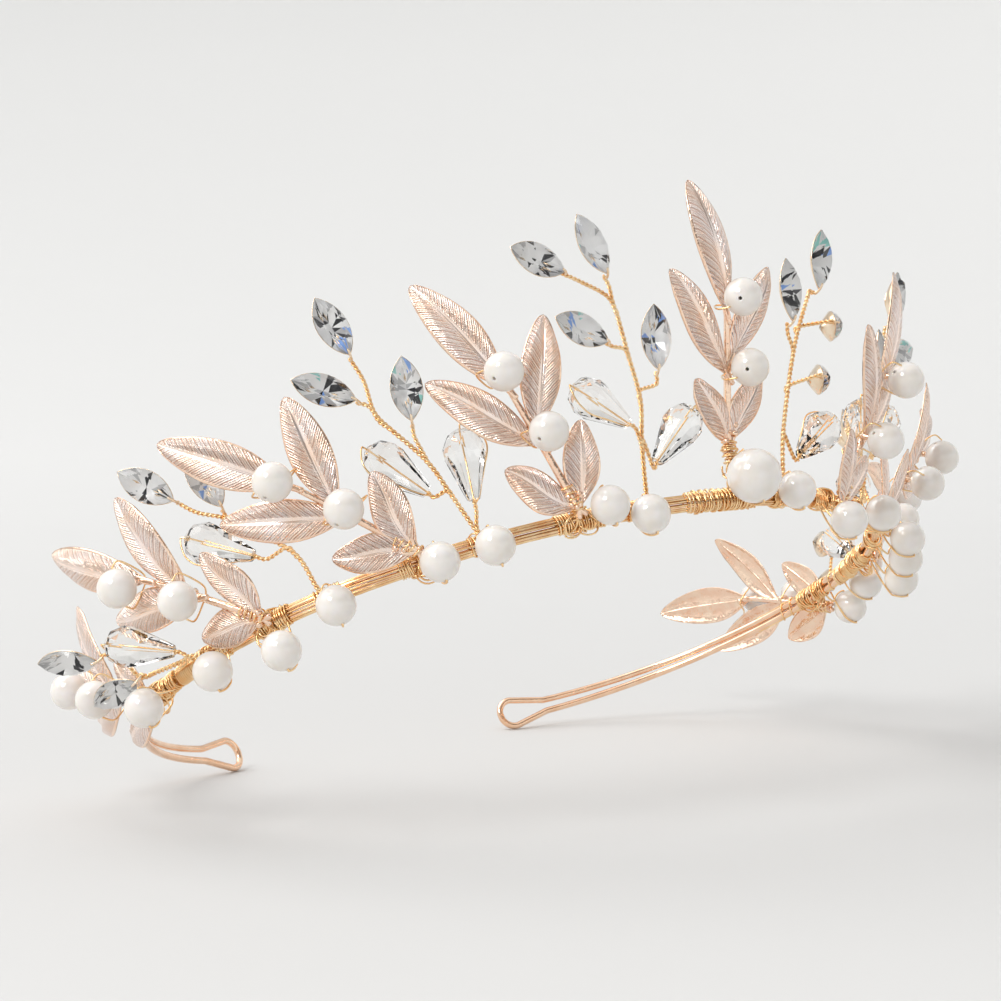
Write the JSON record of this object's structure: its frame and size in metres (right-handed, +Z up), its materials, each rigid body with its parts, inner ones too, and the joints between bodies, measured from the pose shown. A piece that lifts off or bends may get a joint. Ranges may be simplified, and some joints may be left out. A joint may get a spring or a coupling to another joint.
{
  "type": "bridal tiara",
  "caption": "Wire headband tiara with cast leaf sprays, crystal sprigs on twisted wire and pearls that turn on wires along its front.",
  "frame": {"origin": "middle of the head opening, in the plane of the band", "axes": "+Z up as the tiara is worn, the front faces -Y, +X to the wearer's left; the band's plane drops towards the back"},
  "size_m": [0.1842, 0.0996, 0.0995],
  "materials": {
    "rose_gold_wire": "polished rose-gold plated wire",
    "gold_wire": "bright yellow-gold fine wire",
    "rose_gold_leaf": "cast leaf with engraved veins, pale pink-gold with a pearly sheen, gold rim and polished back",
    "pearl": "ivory imitation pearl, glossy",
    "foiled_crystal": "cut crystal with a silver foil back",
    "clear_crystal": "clear faceted drop bead",
    "gold_cup": "thin bright gold cup"
  },
  "bodies": {
    "frame": {"headband_wire": "rose_gold_wire", "band_strands": "gold_wire", "lashings": "gold_wire", "pearl_wires": "gold_wire", "leaf_spray_centre": "rose_gold_leaf", "spray_pearls_centre": "pearl", "spray_pearls_left": "pearl", "spray_pearls_right": "pearl", "crystal_cups_left": "gold_cup", "crystal_cups_right": "gold_cup", "leaf_spray_left_1": "rose_gold_leaf", "leaf_spray_right_1": "rose_gold_leaf", "sprig_wire_left_1": "gold_wire", "sprig_wire_right_1": "gold_wire", "crystals_left_1": "foiled_crystal", "crystals_right_1": "foiled_crystal", "drops_left_1": "clear_crystal", "drops_right_1": "clear_crystal", "leaf_spray_left_2": "rose_gold_leaf", "leaf_spray_right_2": "rose_gold_leaf", "sprig_wire_left_2": "gold_wire", "sprig_wire_right_2": "gold_wire", "crystals_left_2": "foiled_crystal", "crystals_right_2": "foiled_crystal", "drops_left_2": "clear_crystal", "drops_right_2": "clear_crystal", "leaf_spray_left_3": "rose_gold_leaf", "leaf_spray_right_3": "rose_gold_leaf", "sprig_wire_left_3": "gold_wire", "sprig_wire_right_3": "gold_wire", "crystals_left_3": "foiled_crystal", "crystals_right_3": "foiled_crystal", "drops_left_3": "clear_crystal", "drops_right_3": "clear_crystal", "leaf_spray_left_4": "rose_gold_leaf", "leaf_spray_right_4": "rose_gold_leaf", "sprig_wire_left_4": "gold_wire", "sprig_wire_right_4": "gold_wire", "crystals_left_4": "foiled_crystal", "crystals_right_4": "foiled_crystal", "drops_left_4": "clear_crystal", "drops_right_4": "clear_crystal"},
    "pearl_centre": {"pearl_centre": "pearl"},
    "pearl_left_1": {"pearl_left_1": "pearl"},
    "pearl_left_2": {"pearl_left_2": "pearl"},
    "pearl_left_3": {"pearl_left_3": "pearl"},
    "pearl_left_4": {"pearl_left_4": "pearl"},
    "pearl_left_5": {"pearl_left_5": "pearl"},
    "pearl_left_6": {"pearl_left_6": "pearl"},
    "pearl_left_7": {"pearl_left_7": "pearl"},
    "pearl_left_8": {"pearl_left_8": "pearl"},
    "pearl_right_1": {"pearl_right_1": "pearl"},
    "pearl_right_2": {"pearl_right_2": "pearl"},
    "pearl_right_3": {"pearl_right_3": "pearl"},
    "pearl_right_4": {"pearl_right_4": "pearl"},
    "pearl_right_5": {"pearl_right_5": "pearl"},
    "pearl_right_6": {"pearl_right_6": "pearl"},
    "pearl_right_7": {"pearl_right_7": "pearl"},
    "pearl_right_8": {"pearl_right_8": "pearl"}
  },
  "joints": [
    {"name": "pearl_centre_spin", "type": "hinge", "parent": "frame", "child": "pearl_centre", "pos_m": [0.00159, -0.05205, 0.03024], "axis": [0, 0.4879, 0.8729], "continuous": true},
    {"name": "pearl_left_1_spin", "type": "hinge", "parent": "frame", "child": "pearl_left_1", "pos_m": [-0.01979, -0.0509, 0.02558], "axis": [0, 0.4879, 0.8729], "continuous": true},
    {"name": "pearl_left_2_spin", "type": "hinge", "parent": "frame", "child": "pearl_left_2", "pos_m": [-0.02593, -0.04848, 0.0271], "axis": [0, 0.4879, 0.8729], "continuous": true},
    {"name": "pearl_left_3_spin", "type": "hinge", "parent": "frame", "child": "pearl_left_3", "pos_m": [-0.04426, -0.04334, 0.02193], "axis": [0, 0.4879, 0.8729], "continuous": true},
    {"name": "pearl_left_4_spin", "type": "hinge", "parent": "frame", "child": "pearl_left_4", "pos_m": [-0.05153, -0.03942, 0.01974], "axis": [0, 0.4879, 0.8729], "continuous": true},
    {"name": "pearl_left_5_spin", "type": "hinge", "parent": "frame", "child": "pearl_left_5", "pos_m": [-0.06361, -0.03042, 0.01357], "axis": [0, 0.4879, 0.8729], "continuous": true},
    {"name": "pearl_left_6_spin", "type": "hinge", "parent": "frame", "child": "pearl_left_6", "pos_m": [-0.06914, -0.02466, 0.00691], "axis": [0, 0.4879, 0.8729], "continuous": true},
    {"name": "pearl_left_7_spin", "type": "hinge", "parent": "frame", "child": "pearl_left_7", "pos_m": [-0.07347, -0.01377, 0.00311], "axis": [0, 0.4879, 0.8729], "continuous": true},
    {"name": "pearl_left_8_spin", "type": "hinge", "parent": "frame", "child": "pearl_left_8", "pos_m": [-0.07682, -0.00096, -0.00347], "axis": [0, 0.4879, 0.8729], "continuous": true},
    {"name": "pearl_right_1_spin", "type": "hinge", "parent": "frame", "child": "pearl_right_1", "pos_m": [0.01255, -0.05116, 0.02745], "axis": [0, 0.4879, 0.8729], "continuous": true},
    {"name": "pearl_right_2_spin", "type": "hinge", "parent": "frame", "child": "pearl_right_2", "pos_m": [0.0244, -0.05174, 0.02204], "axis": [0, 0.4879, 0.8729], "continuous": true},
    {"name": "pearl_right_3_spin", "type": "hinge", "parent": "frame", "child": "pearl_right_3", "pos_m": [0.03947, -0.04614, 0.02178], "axis": [0, 0.4879, 0.8729], "continuous": true},
    {"name": "pearl_right_4_spin", "type": "hinge", "parent": "frame", "child": "pearl_right_4", "pos_m": [0.05454, -0.03894, 0.01603], "axis": [0, 0.4879, 0.8729], "continuous": true},
    {"name": "pearl_right_5_spin", "type": "hinge", "parent": "frame", "child": "pearl_right_5", "pos_m": [0.06465, -0.03026, 0.01119], "axis": [0, 0.4879, 0.8729], "continuous": true},
    {"name": "pearl_right_6_spin", "type": "hinge", "parent": "frame", "child": "pearl_right_6", "pos_m": [0.06834, -0.02627, 0.00701], "axis": [0, 0.4879, 0.8729], "continuous": true},
    {"name": "pearl_right_7_spin", "type": "hinge", "parent": "frame", "child": "pearl_right_7", "pos_m": [0.07319, -0.01397, 0.00494], "axis": [0, 0.4879, 0.8729], "continuous": true},
    {"name": "pearl_right_8_spin", "type": "hinge", "parent": "frame", "child": "pearl_right_8", "pos_m": [0.07448, -0.00926, 0.00002], "axis": [0, 0.4879, 0.8729], "continuous": true}
  ]
}
